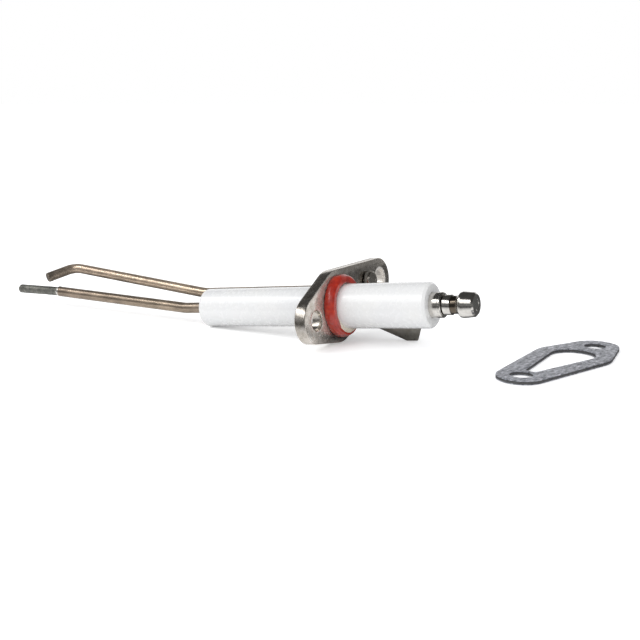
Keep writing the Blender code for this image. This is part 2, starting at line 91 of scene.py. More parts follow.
TAB_SLOPE = math.radians(22.0)
TAB_CHAMFER = 1.2 * MM
TAB_CHAMFER_LENGTH = 3.0 * MM
TAB_HOLE_RADIUS = 0.9 * MM
TAB_HOLE_INSET = 7.0 * MM
RIVET_Y = 17.9 * MM
RIVET_Z = 1.6 * MM
RIVET_RADIUS = 1.2 * MM
RIVET_HEAD = 2.6 * MM
FOOT_RIM = 0.3 * MM
GASKET_TURN = math.radians(258.5)
GASKET_HOLE_RADIUS = 2.8 * MM
OPENING_RADIUS = 5.7 * MM
OPENING_END_Y = 19.9 * MM
OPENING_END_RADIUS = 1.7 * MM

# Fine shape, which only the pieces made here have
SNUG = 0.05 * MM  # between pieces that touch
HOLE_GAP = 0.06 * MM  # round what fills a hole in the flange
LIP_GAP = 0.12 * MM  # round the ceramic's front part in the flange
COLLAR_GAP = 0.02 * MM  # round the collar in the ceramic
COLLAR_RECESS = 2.0 * MM  # how far the ceramic is open round the collar
FLANGE_EDGE = 0.28 * MM
TAB_EDGE = 0.12 * MM
TAB_BEND = 0.5 * MM  # the tab's bend radius on its inner side
GASKET_EDGE = 0.06 * MM
DISH_DEPTH = 0.15 * MM  # of the shallow dish in the terminal's and the rivet's heads
CEMENT_TILT = math.radians(-6.5)
CEMENT_SAG = 0.5 * MM

# Camera and light, as seen from the electrode's origin
CAMERA_OFFSET = Vector((127.15, -230.84, 53.33)) * MM
CAMERA_TURN = math.radians(29.96)
CAMERA_PITCH = math.radians(-12.24)
LENS_MM = 56.25
SOFT_LIGHT = (0.80, 0.805, 0.82)  # the room's even light on matt surfaces
WHITE = (1.0, 1.0, 1.0)
FLOOR_WHITE = (0.96, 0.96, 0.96)
FLOOR_GLOW = (0.30, 0.30, 0.30)  # lifts the floor to white for the camera only
FLOOR_SIZE = 40.0
FLOOR_BAND = 50 * MM  # the floor's reflection darkens within this reach of the electrode

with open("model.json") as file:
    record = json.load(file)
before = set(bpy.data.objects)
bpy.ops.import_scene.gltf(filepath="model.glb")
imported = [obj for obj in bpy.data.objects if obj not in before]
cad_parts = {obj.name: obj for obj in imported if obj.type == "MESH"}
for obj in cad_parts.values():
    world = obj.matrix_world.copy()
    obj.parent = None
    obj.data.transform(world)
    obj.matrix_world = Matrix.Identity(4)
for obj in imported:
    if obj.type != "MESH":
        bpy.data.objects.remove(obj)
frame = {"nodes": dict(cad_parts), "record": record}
cad_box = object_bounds()


# ---------------------------------------------------------------- placing

def middle(node):
    """The middle of a CAD node's box."""
    low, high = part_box(node)
    return (low + high) / 2


def electrode_axes():
    """X runs along the two cement sleeves, and Y square to it, on from the flange's mount point."""
    along = (middle("rear_cement") - middle("front_cement")).normalized()
    mount = next(m for m in frame["record"]["mounts"] if m["name"] == "flange_front_face")
    point = Vector(mount["pos_m"])
    foot = middle("front_cement") + along * (point - middle("front_cement")).dot(along)
    side = (foot - point).normalized()
    axes = Matrix((along, side, along.cross(side))).transposed().to_4x4()
    axes.translation = foot + along * FLANGE_THICKNESS
    return axes


ELECTRODE = electrode_axes()


def extent(node):
    """Lowest and highest corner of a CAD node in the electrode's axes."""
    back = ELECTRODE.inverted()
    points = [back @ vertex.co for vertex in frame["nodes"][node].data.vertices]
    low = Vector([min(point[i] for point in points) for i in range(3)])
    high = Vector([max(point[i] for point in points) for i in range(3)])
    return low, high


def piece(name, mesh, look, axes, body, slot, *nodes):
    """A finished piece: placed, riding on its body, and standing for the CAD nodes named."""
    made = bpy.data.objects.new(name, mesh)
    bpy.context.scene.collection.objects.link(made)
    mesh.materials.clear()
    mesh.materials.append(look)
    mesh.transform(axes)
    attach(made, body)
    if nodes:
        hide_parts(*nodes)
    return made


# ---------------------------------------------------------------- shapes

def mesh_from(bm, name, crease=40):
    """A mesh with outward faces, smooth but for edges sharper than the crease angle."""
    bmesh.ops.remove_doubles(bm, verts=bm.verts, dist=0.0005 * MM)
    bmesh.ops.recalc_face_normals(bm, faces=bm.faces)
    mesh = bpy.data.meshes.new(name)
    bm.to_mesh(mesh)
    bm.free()
    mesh.shade_smooth()
    mesh.set_sharp_from_angle(angle=math.radians(crease))
    return mesh


def rounded(points, radii, steps=6):
    """A path whose inner corners are arcs of the radii given, in two or three dimensions."""
    path = [points[0]]
    for before, corner, after, radius in zip(points, points[1:], points[2:], radii):
        if not radius:
            path.append(corner)
            continue
        inward = (before - corner).normalized()
        outward = (after - corner).normalized()
        half = inward.angle(outward) / 2
        centre = corner + (inward + outward).normalized() * (radius / math.sin(half))
        first = corner + inward * (radius / math.tan(half)) - centre
        last = corner + outward * (radius / math.tan(half)) - centre
        turn = first.angle(last)
        for i in range(steps + 1):
            near = first * math.sin(turn * (1 - i / steps))
            path.append(centre + (near + last * math.sin(turn * i / steps)) / math.sin(turn))
    return path + [points[-1]]


def turned(name, corners, ring=False):
    """Spins (x, radius, fillet) corners about the X axis. A ring's profile closes on itself."""
    if ring:
        corners = corners + corners[:2]
    points = [Vector((x, radius)) for x, radius, _ in corners]
    path = rounded(points, [fillet for _, _, fillet in corners[1:-1]])
    if ring:
        path = path[1:-1]
    bm = bmesh.new()
    verts = [bm.verts.new((x, 0, radius)) for x, radius in path]
    pairs = list(zip(verts, verts[1:]))
    if ring:
        pairs.append((verts[-1], verts[0]))
    edges = [bm.edges.new(pair) for pair in pairs if pair[0].co != pair[1].co]
    bmesh.ops.spin(
        bm,
        geom=verts + edges,
        cent=(0, 0, 0),
        axis=(1, 0, 0),
        angle=math.tau,
        steps=SIDES,
        use_merge=True,
    )
    return mesh_from(bm, name)


def roughen(mesh, depth, size, seed=0):
    """Moves each vertex along its normal by smooth noise, whose bumps are about this size."""
    shift = Vector((seed, 2 * seed, 3 * seed))
    moves = [noise.noise(vertex.co / size + shift) * depth for vertex in mesh.vertices]
    normals = [vertex.normal.copy() for vertex in mesh.vertices]
    for vertex, normal, move in zip(mesh.vertices, normals, moves):
        vertex.co += normal * move


def swept(name, stations):
    """A round bar through stations of (centre, radius), closed by flat ends."""
    bm = bmesh.new()
    centres = [centre for centre, _ in stations]
    normal = Vector((0, 0, 1))
    rings = []
    for i, (centre, radius) in enumerate(stations):
        tangent = (centres[min(i + 1, len(centres) - 1)] - centres[max(i - 1, 0)]).normalized()
        normal = (normal - tangent * normal.dot(tangent)).normalized()
        across = tangent.cross(normal)
        ring = []
        for side in range(ROD_SIDES):
            angle = math.tau * side / ROD_SIDES
            offset = normal * math.cos(angle) + across * math.sin(angle)
            ring.append(bm.verts.new(centre + offset * radius))
        rings.append(ring)
    for ring, following in zip(rings, rings[1:]):
        for side in range(ROD_SIDES):
            after = (side + 1) % ROD_SIDES
            bm.faces.new((ring[side], ring[after], following[after], following[side]))
    for ring, (centre, _) in ((rings[0], stations[0]), (rings[-1], stations[-1])):
        hub = bm.verts.new(centre)
        for side in range(ROD_SIDES):
            bm.faces.new((ring[side], ring[(side + 1) % ROD_SIDES], hub))
    return mesh_from(bm, name, crease=50)


def stations_along(path, radius, edge, spacing=1.2 * MM):
    """Stations along a path, close enough for roughening, with both ends' edges rounded."""
    points = []
    for start, end in zip(path, path[1:]):
        count = max(1, round((end - start).length / spacing))
        points += [start.lerp(end, i / count) for i in range(count)]
    points.append(path[-1])
    head = (points[1] - points[0]).normalized()
    tail = (points[-2] - points[-1]).normalized()
    rim = [(edge * (1 - math.cos(a)), radius - edge * (1 - math.sin(a))) for a in quarter(4)]
    begin = [(points[0] + head * reach, wide) for reach, wide in rim]
    finish = [(points[-1] + tail * reach, wide) for reach, wide in reversed(rim)]
    inner = [p for p in points[1:-1] if min((p - points[0]).length, (p - points[-1]).length) > 1.5 * edge]
    return begin + [(point, radius) for point in inner] + finish


def quarter(steps):
    """Angles from 0 to a right angle."""
    return [math.pi / 2 * i / steps for i in range(steps + 1)]


def arc(centre, radius, start, end, steps):
    """Points along an arc, with both ends."""
    angles = [start + (end - start) * i / steps for i in range(steps + 1)]
    return [(centre[0] + radius * math.cos(a), centre[1] + radius * math.sin(a)) for a in angles]


def wrapped(circles, steps=24):
    """The outline of round lobes (x, y, radius) in the order given, joined by their outer tangents."""
    normals = []
    for (xa, ya, ra), (xb, yb, rb) in zip(circles, circles[1:] + circles[:1]):
        along = math.atan2(yb - ya, xb - xa)
        normals.append(along - math.acos((ra - rb) / math.hypot(xb - xa, yb - ya)))
    outline = []
    for i, (x, y, radius) in enumerate(circles):
        start = normals[i - 1]
        end = normals[i]
        while end < start:
            end += math.tau
        outline += arc((x, y), radius, start, end, steps)
    return outline


def slot_hole(centre, spread, radius, steps=24):
    """A round hole, or a slot where its two half circles stand apart along X."""
    right = arc((centre[0] + spread, centre[1]), radius, -math.pi / 2, math.pi / 2, steps)
    left = arc((centre[0] - spread, centre[1]), radius, math.pi / 2, 3 * math.pi / 2, steps)
    return right + (left if spread else left[1:-1])


def lobed():
    """The outline that the flange and the gasket share, with the near lobe at negative X."""
    body = (0, 0, BODY_LOBE)
    return wrapped([(NEAR_HOLE_Y, 0, NEAR_LOBE), body, (FAR_HOLE_Y, 0, FAR_LOBE), body])


def plate(name, rim, holes, low, high, edge):
    """A flat plate from height low to high with rounded edges, along its rim and round its holes."""
    curve = bpy.data.curves.new(name, "CURVE")
    curve.dimensions = "2D"
    curve.fill_mode = "BOTH"
    curve.extrude = (high - low) / 2 - edge
    curve.bevel_depth = edge
    curve.bevel_resolution = 2
    curve.offset = -edge - 0.01 * MM  # a hair inside the CAD outline
    for outline in [rim] + [list(reversed(hole)) for hole in holes]:
        spline = curve.splines.new("POLY")
        spline.points.add(len(outline) - 1)
        spline.use_cyclic_u = True
        for target, (a, b) in zip(spline.points, outline):
            target.co = (a, b, 0, 1)
    guide = bpy.data.objects.new(name, curve)
    bpy.context.scene.collection.objects.link(guide)
    bpy.context.view_layer.update()
    graph = bpy.context.evaluated_depsgraph_get()
    flat = bpy.data.meshes.new_from_object(guide.evaluated_get(graph))
    bpy.data.objects.remove(guide)
    bm = bmesh.new()
    bm.from_mesh(flat)
    bmesh.ops.translate(bm, verts=bm.verts, vec=(0, 0, (low + high) / 2))
    return mesh_from(bm, name, crease=30)


# Stands a plate up: its axes (a, b, height) turn to (Y, Z, X)
ACROSS = Matrix(((0, 0, 1, 0), (1, 0, 0, 0), (0, 1, 0, 0), (0, 0, 0, 1)))


def gasket_axes():
    """Turned as in the CAD part, and centred on the CAD gasket's box."""
    turn = Matrix.Rotation(GASKET_TURN, 4, "Z")
    outline = [turn @ Vector((a, b, 0)) for a, b in lobed()]
    low = Vector([min(p[i] for p in outline) for i in range(3)])
    high = Vector([max(p[i] for p in outline) for i in range(3)])
    centre = middle("gasket_core")
    centre.z = 0
    return Matrix.Translation(centre - (low + high) / 2) @ turn


GASKET = gasket_axes()


# ---------------------------------------------------------------- materials

class Nodes:
    """Builds up a node tree. Inputs go by name, with _ for a space, and take a value or another's output."""

    def __init__(self, tree):
        self.tree = tree

    def feed(self, socket, value):
        if isinstance(value, bpy.types.NodeSocket):
            self.tree.links.new(value, socket)
        else:
            socket.default_value = value

    def node(self, kind, **inputs):
        made = self.tree.nodes.new(kind)
        for key, value in inputs.items():
            self.feed(made.inputs[key.replace("_", " ")], value)
        return made

    def span(self, source, start, end, first=0.0, last=1.0):
        """Takes start to first and end to last, and goes no further."""
        made = self.node(
            "ShaderNodeMapRange",
            Value=source,
            From_Min=start,
            From_Max=end,
            To_Min=first,
            To_Max=last,
        )
        return made.outputs["Result"]

    def ramp(self, source, stops):
        """A colour or grey ramp of (position, colour) stops."""
        made = self.node("ShaderNodeValToRGB", Fac=source)
        band = made.color_ramp
        for position, colour in stops:
            colour = (*colour, 1) if isinstance(colour, tuple) else (colour, colour, colour, 1)
            if position == stops[0][0]:
                stop = band.elements[0]
                stop.position = position
            elif position == stops[-1][0]:
                stop = band.elements[-1]
                stop.position = position
            else:
                stop = band.elements.new(position)
            stop.color = colour
        return made.outputs["Color"]

    def mix(self, share, first, second, blend="MIX"):
        """Mixes two colours. A Mix node has several inputs of each name, so these go by number."""
        made = self.tree.nodes.new("ShaderNodeMix")
        made.data_type = "RGBA"
        made.blend_type = blend
        self.feed(made.inputs[0], share)
        for socket, value in ((made.inputs[6], first), (made.inputs[7], second)):
            self.feed(socket, (*value, 1) if isinstance(value, tuple) else value)
        return made.outputs[2]

    def vector(self, operation, *values):
        """Vector maths that gives a number, such as a length or a dot product."""
        made = self.tree.nodes.new("ShaderNodeVectorMath")
        made.operation = operation
        for socket, value in zip(made.inputs, values):
            self.feed(socket, value)
        return made.outputs["Value"]


class Look(Nodes):
    """A Principled material whose textures lie in the axes that the pieces are drawn in."""

    def __init__(self, name, colour, roughness, metallic=0.0, axes=ELECTRODE):
        self.material = bpy.data.materials.new(name)
        self.material.use_nodes = True
        super().__init__(self.material.node_tree)
        self.shader = self.tree.nodes["Principled BSDF"]
        self.set(Base_Color=(*colour, 1), Roughness=roughness, Metallic=metallic)
        where = self.node("ShaderNodeTexCoord").outputs["Object"]
        back = self.node(
            "ShaderNodeMapping",
            Vector=where,
            Location=axes.translation,
            Rotation=axes.to_euler(),
        )
        back.vector_type = "TEXTURE"
        self.place = back.outputs["Vector"]
        self.normal = None

    def set(self, **values):
        """Sets what is the same all over the surface."""
        for key, value in values.items():
            self.shader.inputs[key.replace("_", " ")].default_value = value

    def noise(self, size, detail=3.0, rough=0.55, factors=(1, 1, 1)):
        """Noise whose patches are about this size across, and longer along an axis with a factor under 1."""
        place = self.node("ShaderNodeMapping", Vector=self.place, Scale=factors).outputs["Vector"]
        made = self.node("ShaderNodeTexNoise", Vector=place, Scale=1 / size, Detail=detail, Roughness=rough)
        return made.outputs["Fac"]

    def along(self, axis, start, end):
        """0 to 1 between two places along an axis."""
        place = self.node("ShaderNodeSeparateXYZ", Vector=self.place).outputs[axis]
        return self.span(place, start, end)

    def round_x(self, y, z, radius):
        """1 within a radius of the line along X through (y, z), and 0 a little further out."""
        flat = self.node("ShaderNodeMapping", Vector=self.place, Location=(0, -y, -z), Scale=(0, 1, 1))
        reach = self.vector("LENGTH", flat.outputs["Vector"])
        return self.span(reach, radius, radius + 0.2 * MM, 1.0, 0.0)

    def colour(self, source):
        self.feed(self.shader.inputs["Base Color"], source)

    def roughness(self, source):
        self.feed(self.shader.inputs["Roughness"], source)

    def metallic(self, source):
        self.feed(self.shader.inputs["Metallic"], source)

    def bump(self, source, depth):
        """Adds a layer of bumps, this deep between the source's 0 and 1."""
        made = self.node("ShaderNodeBump", Height=source, Distance=depth, Strength=1.0)
        if self.normal:
            self.feed(made.inputs["Normal"], self.normal)
        self.normal = made.outputs["Normal"]
        self.feed(self.shader.inputs["Normal"], self.normal)


def glaze_look():
    """White alumina under a clear glaze, a little cloudy and uneven."""
    look = Look("glazed alumina", (0.77, 0.77, 0.765), 0.2)
    look.set(Coat_Weight=0.6, Coat_Roughness=0.06, Coat_IOR=1.5)
    cloud = look.noise(9 * MM, 2)
    look.colour(look.ramp(cloud, [(0.3, (0.765, 0.77, 0.775)), (0.7, (0.785, 0.785, 0.775))]))
    look.roughness(look.ramp(look.noise(1.2 * MM), [(0.3, 0.2), (0.7, 0.32)]))
    look.bump(look.noise(2.5 * MM, 2), 0.012 * MM)
    look.bump(look.noise(0.3 * MM, 2), 0.0015 * MM)
    return look.material


def cement_look():
    """Grainy beige cement."""
    look = Look("ceramic cement", (0.7, 0.64, 0.53), 0.85)
    look.colour(look.ramp(look.noise(0.5 * MM, 6), [(0.3, (0.52, 0.45, 0.35)), (0.7, (0.78, 0.73, 0.63))]))
    look.bump(look.noise(0.3 * MM, 6, 0.7), 0.08 * MM)
    return look.material


def tinted_look():
    """Drawn steel wire with a brown heat tint, sooty towards the flame, with painted light making the earth
    rod lighter and painted shade making the ignition rod darker.
    """
    look = Look("heat-tinted steel", (0.33, 0.25, 0.19), 0.3, 0.78)
    flame = -114 * MM
    ceramic = -44 * MM
    tint = look.ramp(
        look.along("X", flame, ceramic),
        [
            (0.0, (0.14, 0.125, 0.11)),
            (0.035, (0.26, 0.225, 0.19)),
            (0.08, (0.42, 0.35, 0.28)),
            (0.16, (0.56, 0.44, 0.34)),
            (0.8, (0.66, 0.53, 0.40)),
            (1.0, (0.52, 0.42, 0.33)),
        ],
    )
    # Painted light and shade: the earth rod is made lighter and the ignition rod darker.
    painted_light_by_rod = look.ramp(look.along("Y", 0, EARTH_Y), [(0.0, 0.68), (0.3, 0.68), (0.5, 1.3), (1.0, 1.3)])
    tint = look.mix(1.0, tint, painted_light_by_rod, "MULTIPLY")
    streaks = look.ramp(look.noise(0.5 * MM, 4, 0.6, (0.08, 1, 1)), [(0.3, 0.6), (0.7, 1.15)])
    patches = look.ramp(look.noise(5 * MM, 4), [(0.35, 0.75), (0.65, 1.1)])
    look.colour(look.mix(1.0, look.mix(1.0, tint, streaks, "MULTIPLY"), patches, "MULTIPLY"))
    look.roughness(look.ramp(look.noise(1.0 * MM, 5, 0.6, (0.2, 1, 1)), [(0.3, 0.22), (0.7, 0.36)]))
    look.bump(look.noise(0.22 * MM, 3, 0.6, (0.04, 1, 1)), 0.006 * MM)
    look.bump(look.noise(0.15 * MM, 4), 0.0015 * MM)
    return look.material


def scaled_look():
    """Alloy with the dark, rough scale of the flame."""
    look = Look("scaled tip alloy", (0.2, 0.19, 0.17), 0.5, 0.85)
    patches = look.noise(1.4 * MM, 6, 0.65)
    look.colour(
        look.ramp(patches, [(0.3, (0.10, 0.10, 0.09)), (0.5, (0.20, 0.20, 0.18)), (0.72, (0.36, 0.35, 0.31))])
    )
    look.roughness(look.ramp(look.noise(0.6 * MM, 5), [(0.3, 0.35), (0.7, 0.7)]))
    look.bump(look.noise(0.35 * MM, 6, 0.7), 0.05 * MM)
    return look.material


def plated_look():
    """Plate on a stamped part: bright, mottled and lightly dented.

    The rear face is darkened towards its lower edge by painted shade, standing in for the dark reflection
    under the ceramic, and rubbed matt on the near lobe. The far hole's wall is painted pale, as painted light
    standing in for the lit floor it reflects.
    """
    look = Look("plated steel", (0.62, 0.60, 0.57), 0.2, 1.0)
    mottle = look.noise(1.6 * MM, 4, 0.6)
    plain = look.ramp(
        mottle,
        [(0.3, (0.50, 0.46, 0.40)), (0.5, (0.68, 0.63, 0.57)), (0.7, (0.82, 0.78, 0.73))],
    )
    near_lobe = look.ramp(look.along("Y", -17 * MM, 5 * MM), [(0.0, 1.0), (0.6, 1.0), (1.0, 0.0)])
    rear_face = look.ramp(look.along("X", -0.4 * MM, 0), [(0.0, 0.0), (0.6, 0.0), (0.9, 1.0)])
    upper_part = look.ramp(look.along("Z", -8 * MM, -3 * MM), [(0.0, 0.0), (0.2, 0.0), (0.8, 1.0)])
    # Painted light: the far hole's wall gets a pale colour and less metal, standing in for the lit floor it
    # reflects.
    painted_light_hole_wall = look.round_x(FAR_HOLE_Y, 0, SCREW_HOLE_RADIUS + FAR_HOLE_SLOT + 0.1 * MM)
    # Painted shade: the rear face darkens towards its lower edge, standing in for the dark reflection under
    # the ceramic.
    painted_dark_bottom = look.mix(1.0, plain, look.ramp(upper_part, [(0.0, 0.4), (1.0, 1.0)]), "MULTIPLY")
    look.colour(look.mix(painted_light_hole_wall, look.mix(rear_face, plain, painted_dark_bottom), (0.92, 0.88, 0.83)))
    rubbed = look.mix(1.0, look.mix(1.0, near_lobe, rear_face, "MULTIPLY"), upper_part, "MULTIPLY")
    metal = look.ramp(rubbed, [(0.0, 1.0), (1.0, 0.65)])
    look.metallic(look.mix(painted_light_hole_wall, metal, (0.4, 0.4, 0.4)))
    look.roughness(look.ramp(look.noise(0.9 * MM, 4), [(0.3, 0.16), (0.7, 0.32)]))
    look.bump(look.noise(1.6 * MM, 3, 0.5), 0.06 * MM)
    look.bump(look.noise(0.4 * MM, 2), 0.004 * MM)
    return look.material


def nickel_look():
    """Polished nickel with the fine rings of turning, with the nut's waist coloured dark as painted shade."""
    look = Look("bright nickel", (0.72, 0.70, 0.66), 0.1, 1.0)
    bright = look.ramp(look.noise(1.2 * MM, 4), [(0.3, (0.64, 0.61, 0.57)), (0.7, (0.80, 0.78, 0.74))])
    start = extent("terminal_nut")[0].x
    # Painted shade: the nut's waist is coloured dark brown.
    waist = look.ramp(
        look.along("X", start, start + 5 * MM),
        [(0.0, 0.0), (0.4, 0.0), (0.43, 1.0), (0.72, 1.0), (0.8, 0.0), (1.0, 0.0)],
    )
    look.colour(look.mix(waist, bright, (0.14, 0.115, 0.09)))
    look.roughness(look.ramp(look.noise(0.6 * MM, 4), [(0.3, 0.07), (0.7, 0.2)]))
    look.bump(look.noise(0.12 * MM, 2, 0.5, (1, 0.03, 0.03)), 0.006 * MM)
    look.bump(look.noise(0.8 * MM, 3), 0.01 * MM)
    return look.material


def silicone_look():
    """Red silicone, cast with a lumpy and glossy skin."""
    look = Look("red silicone", (0.50, 0.035, 0.015), 0.3)
    look.set(Coat_Weight=1.0, Coat_Roughness=0.14)
    cloud = look.noise(1.5 * MM, 4)
    look.colour(
        look.ramp(
            cloud,
            [(0.3, (0.27, 0.008, 0.001)), (0.55, (0.39, 0.013, 0.001)), (0.8, (0.56, 0.05, 0.008))],
        )
    )
    look.roughness(look.ramp(look.noise(0.5 * MM, 4), [(0.3, 0.25), (0.7, 0.5)]))
    look.bump(look.noise(0.8 * MM, 4), 0.07 * MM)
    look.bump(look.noise(0.12 * MM, 2), 0.008 * MM)
    return look.material


def tin_look():
    """Dull tin with the grain of rolled sheet."""
    look = Look("tinned brass", (0.3, 0.28, 0.25), 0.35, 0.7)
    look.colour(look.ramp(look.noise(1.5 * MM, 5), [(0.3, (0.25, 0.235, 0.205)), (0.7, (0.42, 0.39, 0.35))]))
    look.roughness(look.ramp(look.noise(0.6 * MM, 4, 0.6, (0.3, 1, 1)), [(0.3, 0.26), (0.7, 0.5)]))
    look.bump(look.noise(0.2 * MM, 4, 0.6, (0.15, 1, 1)), 0.008 * MM)
    return look.material


def foil_look():
    """The gasket's facing: thin sheet, bluish grey and crinkled, speckled in tone, with its brightest specks
    painted glints.
    """
    look = Look("facing foil", (0.36, 0.37, 0.40), 0.35, 0.55, axes=GASKET)
    # Speckled tone, whose brightest stops are painted glints.
    specks_and_painted_glints = look.noise(0.9 * MM, 7, 0.75, (0.5, 1, 1))
    look.colour(
        look.ramp(
            specks_and_painted_glints,
            [
                (0.36, (0.08, 0.085, 0.10)),
                (0.46, (0.32, 0.33, 0.37)),
                (0.56, (0.54, 0.55, 0.60)),
                (0.66, (0.95, 0.95, 1.0)),
            ],
        )
    )
    look.roughness(look.ramp(look.noise(0.4 * MM, 5), [(0.3, 0.25), (0.7, 0.55)]))
    look.bump(look.noise(0.8 * MM, 6, 0.7), 0.3 * MM)
    look.bump(look.noise(0.2 * MM, 4), 0.03 * MM)
    return look.material


def fibre_look():
    """The gasket's dark, matted core."""
    look = Look("graphite fibre", (0.09, 0.09, 0.09), 0.8, axes=GASKET)
    look.colour(look.ramp(look.noise(0.3 * MM, 6, 0.7), [(0.3, 0.03), (0.7, 0.14)]))
    look.bump(look.noise(0.2 * MM, 6, 0.7, (1, 1, 4)), 0.08 * MM)
    return look.material


LOOKS = {
    "glazed_alumina": glaze_look(),
    "ceramic_cement": cement_look(),
    "heat_tinted_steel": tinted_look(),
    "scaled_tip_alloy": scaled_look(),
    "plated_steel": plated_look(),
    "bright_nickel": nickel_look(),
    "red_silicone": silicone_look(),
    "tinned_brass": tin_look(),
    "facing_foil": foil_look(),
    "graphite_fibre": fibre_look(),
}


def electrode_piece(name, mesh, slot, *nodes):
    """A piece that is drawn in the electrode's axes and rides with it."""
    return piece(name, mesh, LOOKS[slot], ELECTRODE, "electrode", slot, *nodes)


# ---------------------------------------------------------------- the electrode

def make_ceramic():
    """The stepped ceramic and its through bore, wider at both mouths."""
    low, high = extent("ceramic_insulator")
    shoulder = LIP_THICKNESS - FLANGE_THICKNESS
    rear = high.z
    recess = extent("terminal_collar")[1].z + COLLAR_GAP
    mouth = extent("front_cement")[1].z + SNUG
    corners = [
        (low.x, FRONT_RADIUS, FRONT_EDGE),
        (shoulder, FRONT_RADIUS, 0),
        (shoulder, rear, 0.2 * MM),
        (high.x - REAR_CHAMFER, rear, 0.5 * MM),
        (high.x, rear - REAR_CHAMFER, 0.25 * MM),
        (high.x, recess, 0.05 * MM),
        (high.x - COLLAR_RECESS, recess, 0),
        (high.x - COLLAR_RECESS, FRONT_BORE, 0),
        (low.x + MOUTH_DEPTH, FRONT_BORE, 0),
        (low.x + MOUTH_DEPTH, mouth, 0),
        (low.x, mouth, 0.3 * MM),
    ]
    mesh = turned("ceramic_body", corners, ring=True)
    electrode_piece("ceramic_body", mesh, "glazed_alumina", "ceramic_insulator")


def make_cement():
    """The cement round the rod in the ceramic's front mouth."""
    low, high = extent("front_cement")
    inner = ROD_RADIUS + SNUG
    corners = [
        (low.x, inner, 0.1 * MM),
        (low.x + 0.15 * MM, high.z, 0.15 * MM),
        (high.x, high.z, 0),
        (high.x, inner, 0),
    ]
    mesh = turned("front_cement_plug", corners, ring=True)
    roughen(mesh, 0.08 * MM, 0.5 * MM)
    electrode_piece("front_cement_plug", mesh, "ceramic_cement", "front_cement")


def make_sealing_ring():
    """The silicone ring, and the cement that has run out under the ceramic."""
    high = extent("sealing_ring")[1]
    inner = extent("ceramic_insulator")[1].z + SNUG
    corners = [
        (SNUG, inner, 0.2 * MM),
        (SNUG, high.z, 0.5 * MM),
        (high.x * 0.55, high.z, 0.8 * MM),
        (high.x, high.z - 0.55 * MM, 0.55 * MM),
        (high.x, inner, 0.55 * MM),
    ]
    mesh = turned("silicone_ring", corners, ring=True)
    roughen(mesh, 0.10 * MM, 2.5 * MM, seed=3)
    mesh.transform(Matrix.Translation((0, 0, 0.12 * MM)))
    electrode_piece("silicone_ring", mesh, "red_silicone", "sealing_ring")

    root = inner - 0.7 * MM
    rim = inner + 0.9 * MM
    corners = [
        (0.3 * MM, root, 0),
        (0.3 * MM, rim, 0),
        (high.x - 0.45 * MM, rim, 0.4 * MM),
        (high.x - 0.1 * MM, root, 0),
    ]
    mesh = turned("cement_fillet", corners, ring=True)
    roughen(mesh, 0.15 * MM, 0.8 * MM, seed=11)
    mesh.transform(Matrix.Translation((0, 0, -CEMENT_SAG)) @ Matrix.Rotation(CEMENT_TILT, 4, "Y"))
    electrode_piece("cement_fillet", mesh, "ceramic_cement")


def make_flange():
    """The three-lobed plate, drawn flat and then stood up across the ceramic."""
    holes = [
        slot_hole((0, 0), 0, FRONT_RADIUS + LIP_GAP, 48),
        slot_hole((NEAR_HOLE_Y, 0), 0, SCREW_HOLE_RADIUS),
        slot_hole((FAR_HOLE_Y, 0), FAR_HOLE_SLOT, SCREW_HOLE_RADIUS),
        slot_hole((EARTH_Y, EARTH_Z), 0, ROD_RADIUS + HOLE_GAP),
        slot_hole((RIVET_Y, RIVET_Z), 0, RIVET_RADIUS + HOLE_GAP),
    ]
    mesh = plate("flange_plate", lobed(), holes, -FLANGE_THICKNESS, 0, FLANGE_EDGE)
    mesh.transform(ACROSS)
    electrode_piece("flange_plate", mesh, "plated_steel", "mounting_flange")


def make_ignition_rod():
    """The high-voltage rod, its tip, and the weld's bead between them."""
    front = extent("ceramic_insulator")[0].x
    tail = Vector((front + MOUTH_DEPTH, 0, 0))
    bend = Vector((front - IGNITION_LEAD, 0, 0))
    weld = bend + Vector((-IGNITION_RUN, 0, IGNITION_RUN * math.tan(IGNITION_SLOPE)))
    path = rounded([tail, bend, weld], [ROD_BEND], 12)
    mesh = swept("ignition_bar", stations_along(path, ROD_RADIUS, 0.15 * MM))
    roughen(mesh, 0.015 * MM, 1.5 * MM)
    electrode_piece("ignition_bar", mesh, "heat_tinted_steel", "ignition_rod")

    forwards = Vector((-math.cos(SPARK_TIP_SLOPE), 0, math.sin(SPARK_TIP_SLOPE)))
    path = [weld, weld + forwards * SPARK_TIP_LENGTH]
    mesh = swept("spark_point", stations_along(path, TIP_RADIUS, 0.45 * MM, 0.4 * MM))
    roughen(mesh, 0.06 * MM, 1.1 * MM, seed=5)
    electrode_piece("spark_point", mesh, "scaled_tip_alloy", "spark_tip")

    # Places along the bead in millimetres, and its width there as a share of the rod's
    bead = [(-0.3, 0.98), (-0.22, 1.03), (0.0, 1.05), (0.22, 1.02), (0.4, 0.95), (0.7, 0.88)]
    mesh = swept("weld_bead", [(weld + forwards * along * MM, ROD_RADIUS * wide) for along, wide in bead])
    roughen(mesh, 0.03 * MM, 0.5 * MM, seed=7)
    electrode_piece("weld_bead", mesh, "bright_nickel")


def make_earth_rod():
    """The rod from the flange along the ceramic, hooked in beside the spark tip."""
    front = extent("ceramic_insulator")[0].x
    root = Vector((-FLANGE_THICKNESS / 2, EARTH_Y, EARTH_Z))
    bend = Vector((front - EARTH_LEAD, EARTH_Y, EARTH_Z))
    corner = bend + Vector((-EARTH_RUN, 0, EARTH_RUN * math.tan(EARTH_SLOPE)))
    path = rounded([root, bend, corner, corner + EARTH_HOOK], [ROD_BEND, HOOK_BEND], 12)
    mesh = swept("earth_bar", stations_along(path, ROD_RADIUS, 0.5 * MM))
    roughen(mesh, 0.015 * MM, 1.5 * MM, seed=9)
    electrode_piece("earth_bar", mesh, "heat_tinted_steel", "earth_rod")


